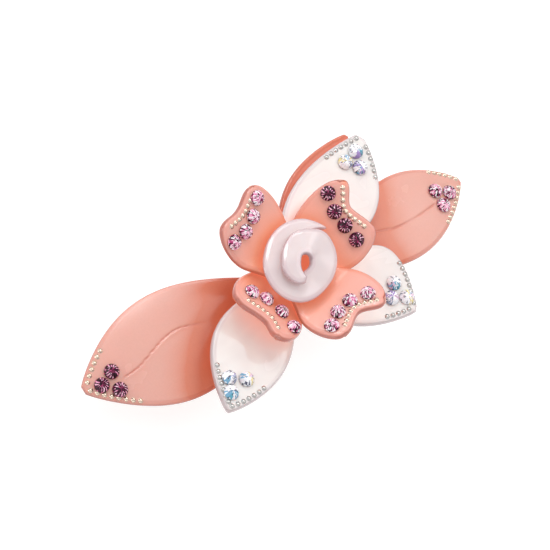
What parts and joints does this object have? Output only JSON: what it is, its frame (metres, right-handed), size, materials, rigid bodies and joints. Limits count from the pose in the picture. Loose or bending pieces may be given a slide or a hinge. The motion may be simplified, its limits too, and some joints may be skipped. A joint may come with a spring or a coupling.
{
  "type": "flower barrette hair clip",
  "caption": "Barrette with peach and pearl acetate leaves, a cupped flower with a rolled centre, rhinestones, and a sprung steel snap clasp behind.",
  "frame": {"origin": "middle of the locking bar's flat back, where the closed clasp lies against the head", "axes": "+X along the barrette from its hinge end to its latch end, +Z out of the hair towards the flower"},
  "size_m": [0.1006, 0.0401, 0.0294],
  "materials": {
    "peach_acetate": "translucent peach cellulose acetate, satin polished",
    "pearl_acetate": "pearl white cellulose acetate, polished",
    "rose_crystal": "foiled rose glass, faceted",
    "clear_crystal": "foiled clear glass with an iridescent coat, faceted",
    "plated_steel": "nickel plated spring steel strip",
    "pale_gold": "pale gold plated micro studs"
  },
  "bodies": {
    "clip": {"clasp_base_plate": "plated_steel", "flower_strip_lower": "peach_acetate", "flower_strip_upper": "peach_acetate", "hinge_pin": "plated_steel", "latch_bracket": "plated_steel", "latch_rivet_inner": "plated_steel", "latch_rivet_outer": "plated_steel", "peach_leaf_left": "peach_acetate", "peach_leaf_right": "peach_acetate", "peach_leaf_top": "peach_acetate", "rolled_centre": "pearl_acetate", "stone_peach_leaf_left_1": "rose_crystal", "stone_peach_leaf_left_2": "rose_crystal", "stone_peach_leaf_left_3": "rose_crystal", "stone_peach_leaf_right_1": "rose_crystal", "stone_peach_leaf_right_2": "rose_crystal", "stone_peach_leaf_right_3": "rose_crystal", "stone_petal_lower_left_1": "rose_crystal", "stone_petal_lower_left_2": "rose_crystal", "stone_petal_lower_left_3": "rose_crystal", "stone_petal_lower_left_4": "rose_crystal", "stone_petal_lower_right_1": "rose_crystal", "stone_petal_lower_right_2": "rose_crystal", "stone_petal_lower_right_3": "rose_crystal", "stone_petal_lower_right_4": "rose_crystal", "stone_petal_upper_left_1": "rose_crystal", "stone_petal_upper_left_2": "rose_crystal", "stone_petal_upper_left_3": "rose_crystal", "stone_petal_upper_left_4": "rose_crystal", "stone_petal_upper_right_1": "rose_crystal", "stone_petal_upper_right_2": "rose_crystal", "stone_petal_upper_right_3": "rose_crystal", "stone_petal_upper_right_4": "rose_crystal", "stone_white_petal_left_1": "clear_crystal", "stone_white_petal_left_2": "clear_crystal", "stone_white_petal_left_3": "clear_crystal", "stone_white_petal_right_1": "clear_crystal", "stone_white_petal_right_2": "clear_crystal", "stone_white_petal_right_3": "clear_crystal", "stone_white_petal_top_1": "clear_crystal", "stone_white_petal_top_2": "clear_crystal", "stone_white_petal_top_3": "clear_crystal", "white_petal_left": "pearl_acetate", "white_petal_right": "pearl_acetate", "white_petal_top": "pearl_acetate"},
    "locking_bar": {"locking_bar": "plated_steel"},
    "tension_spring": {"tension_spring": "plated_steel"},
    "latch_leg_front": {"latch_leg_front": "plated_steel"},
    "latch_leg_back": {"latch_leg_back": "plated_steel"}
  },
  "joints": [
    {"name": "locking_bar_hinge", "type": "hinge", "parent": "clip", "child": "locking_bar", "pos_m": [-0.0355, 0, 0.0009], "axis": [0, 1, 0], "range_deg": [0, 75]},
    {"name": "tension_spring_flex", "type": "hinge", "parent": "clip", "child": "tension_spring", "pos_m": [-0.031, 0, 0.0065], "axis": [0, -1, 0], "range_deg": [0, 1.3], "stiffness_Nm_per_rad": 2},
    {"name": "latch_front_squeeze", "type": "hinge", "parent": "clip", "child": "latch_leg_front", "pos_m": [0.03484, -0.0017, 0.00541], "axis": [0.9891, 0, -0.1473], "range_deg": [0, 8], "stiffness_Nm_per_rad": 0.15},
    {"name": "latch_back_squeeze", "type": "hinge", "parent": "clip", "child": "latch_leg_back", "pos_m": [0.03484, 0.0017, 0.00541], "axis": [0.9891, 0, -0.1473], "range_deg": [-8, 0], "stiffness_Nm_per_rad": 0.15}
  ]
}
